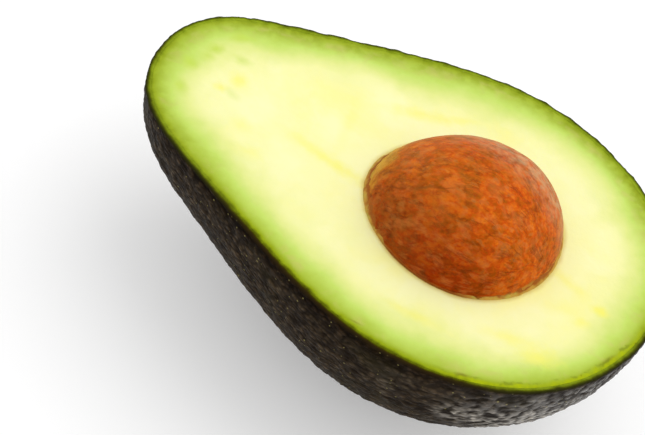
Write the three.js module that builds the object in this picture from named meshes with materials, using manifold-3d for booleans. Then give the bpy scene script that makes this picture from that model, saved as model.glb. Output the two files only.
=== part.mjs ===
// Half an avocado, cut lengthwise through the middle, with the pit still sitting in its seat.
//
// Millimetres, +Z up. The cut face is level and looks up, +X points to the broad blossom end and
// -X to the narrow stem end. The half lies on a small flat spot in its skin, and the origin is
// the middle of that spot. Three solids make it up: the pebbled skin, the flesh and the pit.
//
// The fruit is described about its own centre first: the cut face is z = 0 there and the skin
// hangs below it. The whole group is then lifted and shifted to stand on the origin.

import {
  BoxGeometry,
  BufferAttribute,
  BufferGeometry,
  Euler,
  Group,
  IcosahedronGeometry,
  Mesh,
  MeshStandardMaterial,
  Vector3,
} from 'three';
import { mergeVertices } from 'three/addons/utils/BufferGeometryUtils.js';
import Module from 'manifold-3d';

const wasm = await Module();
wasm.setup();

// ---- Fruit: a pear outline, r = BELLY sin(a) (1 + c TAPER + c^2 WAIST + c^3 HIP + c^4 BLUNT),
// where a runs from the blossom end (0) to the stem end (180 degrees) and c = cos(a)
const FRUIT_LENGTH = 104;
const BELLY = 34.7;
const TAPER = 0.38;
const WAIST = -0.126;
const HIP = -0.226;
const BLUNT = 0.284;
const SWAY = -1.9; // how far the neck and the hip bow sideways, before their own sine is applied
const DEPTH = 1.11; // depth of the half over its half-width, half way along
const DEPTH_TAPER = -0.17; // the neck is rounder below than the belly

// ---- Skin
const SKIN_THICKNESS = 1.0;
const GAP = 0.3; // clearance between neighbouring solids
const PEBBLE_COUNT = 1380; // on the whole fruit, so about half of them are on this half
const PEBBLE_SPACING = 4.1;
const PEBBLE_REACH = 0.62; // radius of a pebble, as a share of the spacing
const PEBBLE_HEIGHT = 0.44;
const PEBBLE_SINK = 0.5; // how much of that height lies under the smooth fruit
const PEBBLE_JITTER = 0.35; // random shift of a pebble, as a share of the spacing
const PEBBLE_SMALLEST = 0.7; // height of the lowest pebble, as a share of the usual one
const PEBBLE_LARGEST = 1.3;
const PEBBLE_SEED = 11;

// ---- Stem scar: a shallow dimple with a raised rim, below the cut at the narrow end
const SCAR_DIRECTION = new Vector3(-0.93, 0.16, -0.33);
const SCAR_RADIUS = 4.2;
const SCAR_FLOOR = 2.1; // radius of the level middle of the dimple
const SCAR_DEPTH = 0.4;
const SCAR_RIM_HEIGHT = 0.5;
const SCAR_RIM_WIDTH = 1.5;

// ---- Flat spot that the half lies on
const FLAT_CUT = 0.7; // how much of the roundest part of the underside is pressed flat
const SMOOTH_RADIUS = 9; // no pebbles this close to the spot's middle
const SMOOTH_FADE = 6; // and they rise to full height over this much more

// ---- Pit: an egg, blunt towards the blossom end, its stem end sunk deeper than the other
const PIT_CENTRE = new Vector3(12.1, -0.3, -2.1);
const PIT_LENGTH = 38.0;
const PIT_WIDTH = 35.2;
const PIT_DEPTH = 32.2;
const PIT_EGG = 0.095; // extra girth at the blunt end, less at the other
const PIT_TILT = new Euler(rad(-20), rad(-13), rad(-8));

// ---- Mesh fineness: rows of triangles along one edge of the starting icosahedron
const OUTER_DETAIL = 29;
const INNER_DETAIL = 11;
const PIT_DETAIL = 9;

const WELD_DISTANCE = 1e-5; // on the unit ball

const STOCK = 2 * FRUIT_LENGTH; // side of the block that trims the whole fruit to its lower half
const LOW_SEARCH_STEPS = 2000;

// ---- Minimal standard generator of random numbers
const RANDOM_FACTOR = 48271;
const RANDOM_MODULUS = 2147483647;

function rad(degrees) {
  return (degrees * Math.PI) / 180;
}

function smoothstep(low, high, value) {
  const t = Math.min(1, Math.max(0, (value - low) / (high - low)));
  return t * t * (3 - 2 * t);
}

/** Random numbers from 0 to 1, the same ones for the same seed. */
function seededRandom(seed) {
  let state = seed;
  return () => {
    state = (state * RANDOM_FACTOR) % RANDOM_MODULUS;
    return state / RANDOM_MODULUS;
  };
}

/** Half-width of the fruit over sin(a), for c = cos(a). */
function girth(c) {
  return BELLY * (1 + c * (TAPER + c * (WAIST + c * (HIP + c * BLUNT))));
}

/** The point of the smooth fruit that a unit direction from its centre leads to. */
function fruitPoint(direction) {
  const c = direction.x;
  const radius = girth(c);
  const sway = SWAY * c * c * (1 - c * c);
  return new Vector3(
    (FRUIT_LENGTH / 2) * c,
    radius * direction.y + sway,
    radius * direction.z * (DEPTH + DEPTH_TAPER * c),
  );
}

/** The point of the pit's surface that a unit direction leads to. */
function pitPoint(direction) {
  const egg = 1 + PIT_EGG * direction.x;
  const point = new Vector3(
    (PIT_LENGTH / 2) * direction.x,
    (PIT_WIDTH / 2) * egg * direction.y,
    (PIT_DEPTH / 2) * egg * direction.z,
  );
  return point.applyEuler(PIT_TILT).add(PIT_CENTRE);
}

/**
 * A closed ball of triangles, pushed out to a surface and then along its normals.
 * toSurface maps a unit direction to a point, and offsetAt gives each point's push.
 */
function ballOnSurface(detail, toSurface, offsetAt) {
  const ball = new IcosahedronGeometry(1, detail);
  ball.deleteAttribute('normal');
  ball.deleteAttribute('uv');
  const geometry = mergeVertices(ball, WELD_DISTANCE);
  const position = geometry.getAttribute('position');
  const point = new Vector3();
  for (let i = 0; i < position.count; i += 1) {
    point.fromBufferAttribute(position, i).normalize();
    position.setXYZ(i, ...toSurface(point).toArray());
  }
  geometry.computeVertexNormals();
  const normals = geometry.getAttribute('normal');
  const normal = new Vector3();
  for (let i = 0; i < position.count; i += 1) {
    point.fromBufferAttribute(position, i);
    normal.fromBufferAttribute(normals, i);
    point.addScaledVector(normal, offsetAt(point));
    position.setXYZ(i, ...point.toArray());
  }
  geometry.deleteAttribute('normal');
  return geometry;
}

/** Lowest point of the smooth underside: the middle of the spot that the half lies on. */
function lowestPoint() {
  const lowest = new Vector3();
  for (let step = 1; step < LOW_SEARCH_STEPS; step += 1) {
    const a = (Math.PI * step) / LOW_SEARCH_STEPS;
    const point = fruitPoint(new Vector3(Math.cos(a), 0, -Math.sin(a)));
    if (point.z < lowest.z) {
      lowest.copy(point);
    }
  }
  return lowest;
}

/** Middles of the pebbles: an even spiral over the whole fruit, each shifted a little. */
function pebbleCentres() {
  const random = seededRandom(PEBBLE_SEED);
  const goldenAngle = Math.PI * (3 - Math.sqrt(5));
  const centres = [];
  for (let i = 0; i < PEBBLE_COUNT; i += 1) {
    const c = 1 - (2 * (i + 0.5)) / PEBBLE_COUNT;
    const s = Math.sqrt(1 - c * c);
    const turn = i * goldenAngle;
    const middle = fruitPoint(new Vector3(c, s * Math.cos(turn), s * Math.sin(turn)));
    const shift = new Vector3(random() - 0.5, random() - 0.5, random() - 0.5);
    middle.addScaledVector(shift, 2 * PEBBLE_JITTER * PEBBLE_SPACING);
    const size = PEBBLE_SMALLEST + (PEBBLE_LARGEST - PEBBLE_SMALLEST) * random();
    centres.push({ middle, size });
  }
  return centres;
}

/** Height of the pebbled relief at a point: domes, with creases where neighbours meet. */
function pebbleHeight(point, centres) {
  let nearest = Infinity;
  let size = 1;
  for (const pebble of centres) {
    const distance = point.distanceTo(pebble.middle);
    if (distance < nearest) {
      nearest = distance;
      size = pebble.size;
    }
  }
  const reach = Math.min(1, nearest / (PEBBLE_REACH * PEBBLE_SPACING));
  return PEBBLE_HEIGHT * (size * (1 - reach * reach) - PEBBLE_SINK);
}

/** Dimple and rim of the stem scar. */
function scarHeight(point, scarMiddle) {
  const distance = point.distanceTo(scarMiddle);
  const dimple = -SCAR_DEPTH * (1 - smoothstep(SCAR_FLOOR, SCAR_RADIUS, distance));
  const rim = Math.exp(-(((distance - SCAR_RADIUS) / SCAR_RIM_WIDTH) ** 2));
  return dimple + SCAR_RIM_HEIGHT * rim;
}

function toSolid(geometry) {
  const vertProperties = new Float32Array(geometry.getAttribute('position').array);
  const triVerts = new Uint32Array(geometry.index.array);
  return new wasm.Manifold(new wasm.Mesh({ numProp: 3, vertProperties, triVerts }));
}

function toGeometry(solid) {
  const mesh = solid.getMesh();
  const geometry = new BufferGeometry();
  geometry.setAttribute('position', new BufferAttribute(mesh.vertProperties, 3));
  geometry.setIndex(new BufferAttribute(mesh.triVerts, 1));
  geometry.computeVertexNormals();
  return geometry;
}

/** Block that keeps what lies between the cut face and the flat spot. */
function lowerHalfBlock(floor) {
  const block = new BoxGeometry(STOCK, STOCK, -floor);
  block.translate(0, 0, floor / 2);
  block.deleteAttribute('normal');
  block.deleteAttribute('uv');
  return toSolid(mergeVertices(block));
}

/** The outside of the fruit: pebbles and stem scar, both fading out at the flat spot. */
function fruitOutside(restSpot) {
  const centres = pebbleCentres();
  const scarMiddle = fruitPoint(SCAR_DIRECTION.clone().normalize());
  return ballOnSurface(OUTER_DETAIL, fruitPoint, (point) => {
    const awayFromSpot = point.distanceTo(restSpot);
    const awayFromScar = point.distanceTo(scarMiddle);
    const show = smoothstep(SMOOTH_RADIUS, SMOOTH_RADIUS + SMOOTH_FADE, awayFromSpot)
      * smoothstep(SCAR_RADIUS, 2 * SCAR_RADIUS, awayFromScar);
    return show * pebbleHeight(point, centres) + scarHeight(point, scarMiddle);
  });
}

/** Skin: the outside of the fruit less its inside wall, trimmed to the lower half. */
function makeSkin(restSpot, block) {
  const outside = toSolid(fruitOutside(restSpot));
  const inside = toSolid(ballOnSurface(INNER_DETAIL, fruitPoint, () => -SKIN_THICKNESS));
  return toGeometry(outside.subtract(inside).intersect(block));
}

/** Flesh: fills the skin but for a gap, with the pit's seat sunk into its cut face. */
function makeFlesh(block) {
  const depthInSkin = -SKIN_THICKNESS - GAP;
  const body = toSolid(ballOnSurface(INNER_DETAIL, fruitPoint, () => depthInSkin));
  const seat = toSolid(ballOnSurface(PIT_DETAIL, pitPoint, () => GAP));
  return toGeometry(body.intersect(block).subtract(seat));
}

function makePit() {
  return toGeometry(toSolid(ballOnSurface(PIT_DETAIL, pitPoint, () => 0)));
}

function namedMesh(name, geometry, color, roughness) {
  const material = new MeshStandardMaterial({ color, roughness, metalness: 0 });
  const mesh = new Mesh(geometry, material);
  mesh.name = name;
  return mesh;
}

const restSpot = lowestPoint();
restSpot.z += FLAT_CUT;
const block = lowerHalfBlock(restSpot.z);

const avocadoHalf = new Group();
avocadoHalf.add(namedMesh('skin', makeSkin(restSpot, block), 0x2f2a21, 0.55));
avocadoHalf.add(namedMesh('flesh', makeFlesh(block), 0xf0f0a4, 0.45));
avocadoHalf.add(namedMesh('pit', makePit(), 0xa04a18, 0.35));
avocadoHalf.position.copy(restSpot).negate();

export default avocadoHalf;
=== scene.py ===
"""Half an avocado with its pit: the finished looks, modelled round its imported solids.

Lengths are metres, in the frame of the solids. The half lies on its flat spot at the origin, the
cut face is level and looks up, +X points to the broad blossom end and -X to the narrow stem end.
"""

import logging
import math
from collections.abc import Callable, Sequence
from dataclasses import dataclass, field
from enum import Enum
from functools import cache, cached_property, partial, reduce
from typing import NamedTuple

import bmesh
import bpy
from mathutils import Euler, Matrix, Vector, kdtree, noise


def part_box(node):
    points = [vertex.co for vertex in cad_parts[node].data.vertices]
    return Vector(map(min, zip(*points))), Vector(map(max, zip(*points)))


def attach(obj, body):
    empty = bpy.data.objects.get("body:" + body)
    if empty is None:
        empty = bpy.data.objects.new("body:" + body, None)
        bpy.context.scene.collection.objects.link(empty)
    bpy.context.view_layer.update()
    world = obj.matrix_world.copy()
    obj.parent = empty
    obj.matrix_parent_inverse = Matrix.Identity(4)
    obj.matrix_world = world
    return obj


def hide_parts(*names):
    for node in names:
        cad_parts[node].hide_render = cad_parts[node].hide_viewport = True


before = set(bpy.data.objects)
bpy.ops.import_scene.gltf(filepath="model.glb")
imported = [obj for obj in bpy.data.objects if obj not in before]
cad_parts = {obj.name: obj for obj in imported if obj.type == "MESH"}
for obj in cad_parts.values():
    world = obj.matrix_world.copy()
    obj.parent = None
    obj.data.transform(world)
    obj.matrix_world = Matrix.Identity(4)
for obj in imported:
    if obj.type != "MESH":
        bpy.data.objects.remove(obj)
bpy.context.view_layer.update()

log = logging.getLogger("avocado_half")

MM = 0.001
NOISE_SEED = 7  # without it the bends of the pebbles and ridges would differ each run
BODY = "root"
IMAGE_WIDTH = 645  # pixels across the camera's image

Colour = tuple[float, float, float, float]
Socket = bpy.types.NodeSocket
Value = Socket | float | Sequence[float]


class Node(Enum):
    """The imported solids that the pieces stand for."""

    SKIN = "skin"
    FLESH = "flesh"
    PIT = "pit"


class Slot(Enum):
    """The record's material slots."""

    SKIN = "skin"
    FLESH = "flesh"
    PIT = "pit"


class Mask(Enum):
    """Per-vertex values that the finishes read."""

    RELIEF = "relief"  # peel: 1 on its pebbles' tops; plug: 1 in its cracks; fringe: 1 at the pit's ends
    SCAR = "scar"  # peel: 1 at the stem scar; plug: share of its radius
    RIND = "rind"  # flesh: millimetres from the inside of the skin; peel: 0 to 1 across the cut rim
    SEAT = "seat"  # flesh: millimetres from the edge of the pit's seat; fringe: millimetres above the cut


class Blend(Enum):
    """How a colour is mixed into what is under it."""

    MIX = "MIX"
    MULTIPLY = "MULTIPLY"


class Fade(NamedTuple):
    """A smooth change with a value: start below low, end above high."""

    low: float
    high: float
    start: float = 0.0
    end: float = 1.0

    def at(self, value: float) -> float:
        """Where the change has got to at a value."""
        share = min(1.0, max(0.0, (value - self.low) / (self.high - self.low)))
        return self.start + (self.end - self.start) * share * share * (3 - 2 * share)


def srgb(red: int, green: int, blue: int) -> Colour:
    """A display colour as the linear colour that shaders use.

    Args:
        red: Red, 0 to 255.
        green: Green, 0 to 255.
        blue: Blue, 0 to 255.

    Returns:
        The linear colour, opaque.
    """

    def linear(value: int) -> float:
        """One channel, by the display standard's curve."""
        share = value / 255
        return share / 12.92 if share <= 0.04045 else ((share + 0.055) / 1.055) ** 2.4

    return (linear(red), linear(green), linear(blue), 1.0)


def fixed(vector: Vector) -> Vector:
    """A dataclass field that starts as a vector."""
    return field(default_factory=vector.copy)


# ---------------------------------------------------------------------------------------- shapes


@dataclass(frozen=True)
class FruitShape:
    """The pear outline of the whole fruit, about its own centre, as the solids have it.

    The half-width is belly * sin(a) * (1 + c taper + c^2 waist + c^3 hip + c^4 blunt), where a runs
    from the blossom end to the stem end and c is its cosine.
    """

    length: float = 104 * MM
    belly: float = 34.7 * MM
    taper: float = 0.38
    waist: float = -0.126
    hip: float = -0.226
    blunt: float = 0.284
    sway: float = -1.9 * MM
    depth: float = 1.11
    depth_taper: float = -0.17
    search_steps: int = 2000

    def girth(self, c: float) -> float:
        """Half-width over sin(a), for c = cos(a)."""
        return self.belly * (1 + c * (self.taper + c * (self.waist + c * (self.hip + c * self.blunt))))

    def local_point(self, direction: Vector) -> Vector:
        """A point of the smooth fruit.

        Args:
            direction: The unit direction that leads to it from the fruit's centre.

        Returns:
            The point, from that centre.
        """
        c = direction.x
        radius = self.girth(c)
        sway = self.sway * c * c * (1 - c * c)
        depth = self.depth + self.depth_taper * c
        return Vector((self.length / 2 * c, radius * direction.y + sway, radius * direction.z * depth))

    def centre(self) -> Vector:
        """Finds the fruit's centre: over the flat spot, at the cut face's height.

        Returns:
            The centre, in the frame.
        """
        lowest = Vector()
        for step in range(1, self.search_steps):
            angle = math.pi * step / self.search_steps
            point = self.local_point(Vector((math.cos(angle), 0, -math.sin(angle))))
            if point.z < lowest.z:
                lowest = point
        cut_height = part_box(Node.SKIN.value)[1][2]
        return Vector((-lowest.x, -lowest.y, cut_height))


FRUIT = FruitShape()
CENTRE = FRUIT.centre()
SKIN = 1.0 * MM  # its thickness
SCAR_DIRECTION = Vector((-0.93, 0.16, -0.33)).normalized()
NUDGE = 1e-4  # step used to find which way a surface faces


def facing(direction: Vector, to_point: Callable[[Vector], Vector]) -> Vector:
    """The outward normal of a surface that directions lead to.

    Args:
        direction: A unit direction from the surface's middle.
        to_point: Gives the surface's point for a direction.

    Returns:
        The unit normal.
    """
    across = direction.orthogonal().normalized()
    along = direction.cross(across)
    middle = to_point(direction)
    first = to_point(direction + across * NUDGE) - middle
    second = to_point(direction + along * NUDGE) - middle
    return first.cross(second).normalized()


def bearing(longitude: float, elevation: float = 0.0) -> Vector:
    """The unit direction at a longitude and an elevation, in radians."""
    level = math.cos(elevation)
    return Vector((level * math.cos(longitude), level * math.sin(longitude), math.sin(elevation)))


def fruit_point(direction: Vector, offset: float = 0.0) -> Vector:
    """A point on or near the smooth fruit.

    Args:
        direction: The unit direction that leads to it from the fruit's centre.
        offset: How far it is pushed out along the normal.

    Returns:
        The point, in the frame.
    """
    point = CENTRE + FRUIT.local_point(direction)
    if offset:
        point += facing(direction, FRUIT.local_point) * offset
    return point


@dataclass(frozen=True)
class PitShape:
    """The pit: an egg with its blunt end towards the blossom, about the fruit's centre."""

    centre: Vector = fixed(Vector((12.1, -0.3, -2.1)) * MM)
    half_length: float = 19.0 * MM
    half_width: float = 17.6 * MM
    half_depth: float = 16.1 * MM
    egg: float = 0.095
    tilt: Euler = field(
        default_factory=lambda: (
            Matrix.Rotation(math.radians(-20), 3, "X")
            @ Matrix.Rotation(math.radians(-13), 3, "Y")
            @ Matrix.Rotation(math.radians(-8), 3, "Z")
        ).to_euler()
    )
    reach: float = 30 * MM
    halvings: int = 20

    def local_point(self, direction: Vector) -> Vector:
        """A point of the pit's surface.

        Args:
            direction: The unit direction that leads to it from the pit's middle.

        Returns:
            The point, from the fruit's centre.
        """
        egg = 1 + self.egg * direction.x
        half = (self.half_length, self.half_width * egg, self.half_depth * egg)
        point = Vector([size * share for size, share in zip(half, direction)])
        point.rotate(self.tilt)
        return point + self.centre

    def level(self, point: Vector) -> float:
        """Tells the inside of the pit from the outside.

        Args:
            point: A point, from the fruit's centre.

        Returns:
            Under 1 inside the pit and over 1 outside it.
        """
        local = point - self.centre
        local.rotate(self.tilt.to_matrix().transposed())
        c = local.x / self.half_length
        egg = 1 + self.egg * max(-1.0, min(1.0, c))
        return math.hypot(c, local.y / (self.half_width * egg), local.z / (self.half_depth * egg))

    def hit(self, start: Vector, direction: Vector) -> float:
        """Follows a ray from inside the pit until it leaves it.

        Args:
            start: Where the ray starts, from the fruit's centre.
            direction: Its unit direction.

        Returns:
            How far it goes.
        """
        near, far = 0.0, self.reach
        for _ in range(self.halvings):
            middle = (near + far) / 2
            if self.level(start + direction * middle) < 1:
                near = middle
            else:
                far = middle
        return far


PIT = PitShape()


@cache
def seat_reach(longitude: float, elevation: float) -> float:
    """How far the pit reaches from its middle's place on the cut face, along a bearing."""
    return PIT.hit(Vector((PIT.centre.x, PIT.centre.y, 0)), bearing(longitude, elevation))


# ------------------------------------------------------------------------------ mesh construction


class SurfacePoint(NamedTuple):
    """A vertex's place and what the finishes should know about it."""

    place: Vector
    masks: dict[Mask, float] = {}


@dataclass
class Body:
    """A mesh under construction and the masks of its vertices, in their order."""

    mesh: bmesh.types.BMesh = field(default_factory=bmesh.new)
    masks: dict[Mask, list[float]] = field(default_factory=dict)

    def move(self, vert: bmesh.types.BMVert, point: SurfacePoint) -> None:
        """Puts the next vertex in its place and notes its masks.

        Args:
            vert: The vertex.
            point: Its place and masks.
        """
        vert.co = point.place
        for mask, value in point.masks.items():
            self.masks.setdefault(mask, []).append(value)

    def place(self, name: str, material: bpy.types.Material) -> bpy.types.Object:
        """Turns the finished body into an object at the origin, smooth shaded and dressed.

        Args:
            name: The piece's name.
            material: Its finish.

        Returns:
            The piece.
        """
        mesh = bpy.data.meshes.new(name)
        self.mesh.to_mesh(mesh)
        self.mesh.free()
        mesh.polygons.foreach_set("use_smooth", [True] * len(mesh.polygons))
        mesh.materials.append(material)
        for mask, values in self.masks.items():
            layer = mesh.attributes.new(mask.value, "FLOAT", "POINT")
            layer.data.foreach_set("value", values)
        piece = bpy.data.objects.new(name, mesh)
        bpy.context.scene.collection.objects.link(piece)
        return piece


def polar_body(segments: int, last: int, at: Callable[[int, float], SurfacePoint]) -> Body:
    """A closed body: a grid rolled into a tube, drawn to a point at both ends and moved onto outlines.

    Args:
        segments: Points round each row.
        last: The last row's number; row 0 and this one are single points, the two poles.
        at: Gives the point of a row at a longitude.

    Returns:
        The body.
    """
    body = Body()
    bmesh.ops.create_grid(body.mesh, x_segments=segments, y_segments=last, size=1.0)
    sheet = {}
    for vert in body.mesh.verts:
        sheet[round((1 - vert.co.y) / 2 * last), round((1 + vert.co.x) / 2 * segments)] = vert
    joined = {sheet[row, segments]: sheet[row, 0] for row in range(1, last)}
    for row in (0, last):
        joined.update({sheet[row, column]: sheet[row, 0] for column in range(1, segments + 1)})
    places = {vert: cell for cell, vert in sheet.items() if vert not in joined}
    bmesh.ops.weld_verts(body.mesh, targetmap=joined)
    for vert in body.mesh.verts:
        row, column = places[vert]
        body.move(vert, at(row, 2 * math.pi * column / segments))
    bmesh.ops.recalc_face_normals(body.mesh, faces=body.mesh.faces)
    return body


RING_SECTION = 0.25  # the circle's radius, of any size that keeps it clear of the axis


def ring_body(segments: int, sides: int, at: Callable[[float, float], SurfacePoint]) -> Body:
    """A closed ring made by spinning a small circle and moving its points.

    Args:
        segments: Steps round the ring.
        sides: Points round its section.
        at: Gives the point at a longitude and an angle round the section, 0 facing outwards.

    Returns:
        The ring.
    """
    body = Body()
    stand = Matrix.Translation((1, 0, 0)) @ Matrix.Rotation(math.pi / 2, 4, "X")
    bmesh.ops.create_circle(body.mesh, segments=sides, radius=RING_SECTION, matrix=stand)
    section = body.mesh.verts[:] + body.mesh.edges[:]
    turn = {"cent": (0, 0, 0), "axis": (0, 0, 1), "angle": 2 * math.pi}
    bmesh.ops.spin(body.mesh, geom=section, steps=segments, use_merge=True, **turn)
    for vert in body.mesh.verts:
        out = math.hypot(vert.co.x, vert.co.y) - 1
        body.move(vert, at(math.atan2(vert.co.y, vert.co.x), math.atan2(vert.co.z, out)))
    bmesh.ops.recalc_face_normals(body.mesh, faces=body.mesh.faces)
    return body


def report(piece: bpy.types.Object, node: Node | None) -> None:
    """Joins a piece to the frame and logs it.

    Args:
        piece: The finished piece.
        node: The solid it stands for, if any.
    """
    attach(piece, BODY)
    if node is not None:
        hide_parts(node.value)
    triangles = sum(len(polygon.vertices) - 2 for polygon in piece.data.polygons)
    log.info("%s: %d triangles", piece.name, triangles)


# ------------------------------------------------------------------------------------ node sheets


class Clouds(NamedTuple):
    """A cloudy noise, from 0 to 1: features per metre, octaves and how much the finer ones count."""

    scale: Value
    detail: float = 3.0
    roughness: float = 0.5
    distortion: float = 0.0


class Patches(NamedTuple):
    """Soft uneven patches: features per metre, the share they cover, their edge and their strength."""

    scale: float
    share: float
    softness: float
    strength: float = 1.0


class Specks(NamedTuple):
    """Small round specks: cells per metre, their radius and share of the cells, and their strength."""

    scale: float
    radius: float
    share: float
    strength: float = 1.0


class Grit(NamedTuple):
    """A fine grain: features per metre, its height, and the depth in metres of a height of 1."""

    scale: float
    height: float
    depth: float


class NodeSheet:
    """A node tree with short ways to add nodes and join them."""

    mix_sockets = (6, 7, 2)  # a colour mix's two inputs and its result
    noise_middle = 0.5

    def __init__(self, tree: bpy.types.NodeTree) -> None:
        """Keeps the tree to draw on."""
        self.tree = tree

    def feed(self, socket: Socket, value: Value) -> None:
        """Joins another socket to this one, or sets its value.

        Args:
            socket: The socket to feed.
            value: The other socket or the value.
        """
        if isinstance(value, Socket):
            self.tree.links.new(value, socket)
        else:
            socket.default_value = value

    def add(self, kind: str, *values: Value, **settings: object) -> bpy.types.Node:
        """Adds a node.

        Args:
            kind: Its type.
            values: What its first sockets are fed, in order.
            settings: Its properties.

        Returns:
            The node.
        """
        node = self.tree.nodes.new(kind)
        for key, value in settings.items():
            setattr(node, key, value)
        for socket, value in zip(node.inputs, values):
            self.feed(socket, value)
        return node

    def wire(self, node: bpy.types.Node, **values: Value) -> bpy.types.Node:
        """Feeds a node's sockets by name.

        Args:
            node: The node.
            values: What each socket is fed; underscores in names stand for spaces.

        Returns:
            The node.
        """
        for key, value in values.items():
            self.feed(node.inputs[key.replace("_", " ")], value)
        return node

    def maths(self, operation: str, *values: Value) -> Socket:
        """One step of arithmetic."""
        return self.add("ShaderNodeMath", *values, operation=operation).outputs[0]

    def plus(self, *values: Value) -> Socket:
        """The sum of some values."""
        return reduce(partial(self.maths, "ADD"), values)

    def times(self, *values: Value) -> Socket:
        """The product of some values."""
        return reduce(partial(self.maths, "MULTIPLY"), values)

    def most(self, *values: Value) -> Socket:
        """The highest of some values."""
        return reduce(partial(self.maths, "MAXIMUM"), values)

    def span(self, value: Value, fade: Fade) -> Socket:
        """How far a fade has got at a value."""
        settings = {"interpolation_type": "SMOOTHSTEP", "clamp": True}
        return self.add("ShaderNodeMapRange", value, *fade, **settings).outputs[0]

    def mix(self, share: Value, first: Value, second: Value, blend: Blend = Blend.MIX) -> Socket:
        """Mixes two colours.

        Args:
            share: The second colour's share.
            first: The first colour.
            second: The second one.
            blend: How they are mixed.

        Returns:
            The mixed colour.
        """
        node = self.add("ShaderNodeMix", share, data_type="RGBA", blend_type=blend.value)
        one, other, result = self.mix_sockets
        self.feed(node.inputs[one], first)
        self.feed(node.inputs[other], second)
        return node.outputs[result]

    def ramp(self, value: Value, stops: Sequence[tuple[float, Colour]], whole: float = 1.0) -> Socket:
        """A colour that changes with a value.

        Args:
            value: The value.
            stops: The values it changes at, and its colours there.
            whole: The highest value that the stops may have.

        Returns:
            The colour.
        """
        share = value if whole == 1.0 else self.maths("DIVIDE", value, whole)
        node = self.add("ShaderNodeValToRGB", share)
        elements = node.color_ramp.elements
        while len(elements) < len(stops):
            elements.new(1.0)
        for element, (position, colour) in zip(elements, stops):
            element.position = position / whole
            element.color = colour
        return node.outputs[0]

    def clouds(self, vector: Value, kind: Clouds) -> bpy.types.Node:
        """The node of a cloudy noise."""
        sockets = {name.capitalize(): value for name, value in kind._asdict().items()}
        return self.wire(self.add("ShaderNodeTexNoise"), Vector=vector, **sockets)

    def noise(self, vector: Value, kind: Clouds) -> Socket:
        """A cloudy value from 0 to 1."""
        return self.clouds(vector, kind).outputs["Fac"]

    def centred(self, vector: Value, kind: Clouds) -> Socket:
        """A cloudy value from -0.5 to 0.5."""
        return self.maths("SUBTRACT", self.noise(vector, kind), self.noise_middle)

    def ragged(self, vector: Value, kind: Clouds, by: float) -> Socket:
        """A cloudy value from 0 up to a given one."""
        return self.times(self.noise(vector, kind), by)

    def uneven(self, vector: Value, kind: Clouds, fade: Fade) -> Socket:
        """How far a fade has got at a cloudy value."""
        return self.span(self.noise(vector, kind), fade)

    def bent(self, vector: Value, kind: Clouds, by: float) -> Socket:
        """A vector pushed about by clouds, by up to a given distance."""
        values = (self.clouds(vector, kind).outputs["Color"], (by, by, by), vector)
        return self.add("ShaderNodeVectorMath", *values, operation="MULTIPLY_ADD").outputs[0]

    def cells(self, vector: Value, scale: Value, feature: str = "F1") -> bpy.types.Node:
        """The node of a cell pattern."""
        return self.wire(self.add("ShaderNodeTexVoronoi", feature=feature), Vector=vector, Scale=scale)

    def towards(self, vector: Value, way: Vector) -> Socket:
        """How far a vector goes in a direction."""
        return self.add("ShaderNodeVectorMath", vector, way, operation="DOT_PRODUCT").outputs["Value"]

    def axes(self, vector: Value) -> list[Socket]:
        """A vector's three parts."""
        return list(self.add("ShaderNodeSeparateXYZ", vector).outputs)

    def channels(self, colour: Value) -> list[Socket]:
        """A colour's three channels."""
        return list(self.add("ShaderNodeSeparateColor", colour).outputs)

    def mapped(self, vector: Value, kind: str = "POINT", **values: Value) -> Socket:
        """A vector moved by Location, turned by Rotation and stretched by Scale."""
        node = self.add("ShaderNodeMapping", vector_type=kind)
        return self.wire(node, Vector=vector, **values).outputs[0]

    def stretched(self, vector: Value, share: float) -> Socket:
        """A vector with its part along X cut to a share, so that what it draws grows longer."""
        return self.mapped(vector, Scale=(share, 1.0, 1.0))

    def attribute(self, mask: Mask) -> Socket:
        """A mask's value on the surface."""
        return self.add("ShaderNodeAttribute", attribute_name=mask.value).outputs["Fac"]

    def group(self, effect: "Effect", **values: Value) -> Socket:
        """A shared effect's result, with values of its own."""
        return self.wire(self.add("ShaderNodeGroup", node_tree=effect.tree), **values).outputs[0]


class Effect(NodeSheet):
    """A node group that several finishes share, with one output."""

    name = "effect"
    inputs: dict[str, float | None] = {}  # the values its sockets start at, or None for a vector
    output = ("Value", "Float")

    def __init__(self) -> None:
        """Makes the group, its sockets and what lies between them."""
        super().__init__(bpy.data.node_groups.new(self.name, "ShaderNodeTree"))
        new_socket = self.tree.interface.new_socket
        for key, value in self.inputs.items():
            kind = "Vector" if value is None else "Float"
            socket = new_socket(key, in_out="INPUT", socket_type=f"NodeSocket{kind}")
            if value is not None:
                socket.default_value = value
        key, kind = self.output
        new_socket(key, in_out="OUTPUT", socket_type=f"NodeSocket{kind}")
        self.given = self.add("NodeGroupInput").outputs
        self.add("NodeGroupOutput", self.draw())

    def draw(self) -> Socket:
        """Draws the effect and gives its result."""
        raise NotImplementedError


class Mottle(Effect):
    """Soft uneven patches: 0 to 1, with a wanted share of patch and softness of edge."""

    name = "mottle"
    inputs = {"Vector": None, "Scale": 100.0, "Share": 0.5, "Softness": 0.2}
    output = ("Patch", "Float")
    texture = (4.0, 0.55, 0.4)  # the clouds' detail, roughness and distortion

    def draw(self) -> Socket:
        """Draws the patches where the clouds are thick enough.

        Returns:
            The patches.
        """
        vector, scale, share, softness = self.given[:4]
        clouds = self.noise(vector, Clouds(scale, *self.texture))
        away = self.maths("SUBTRACT", clouds, self.maths("SUBTRACT", 1.0, share))
        return self.span(self.maths("DIVIDE", away, softness), Fade(-1.0, 1.0))


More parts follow.
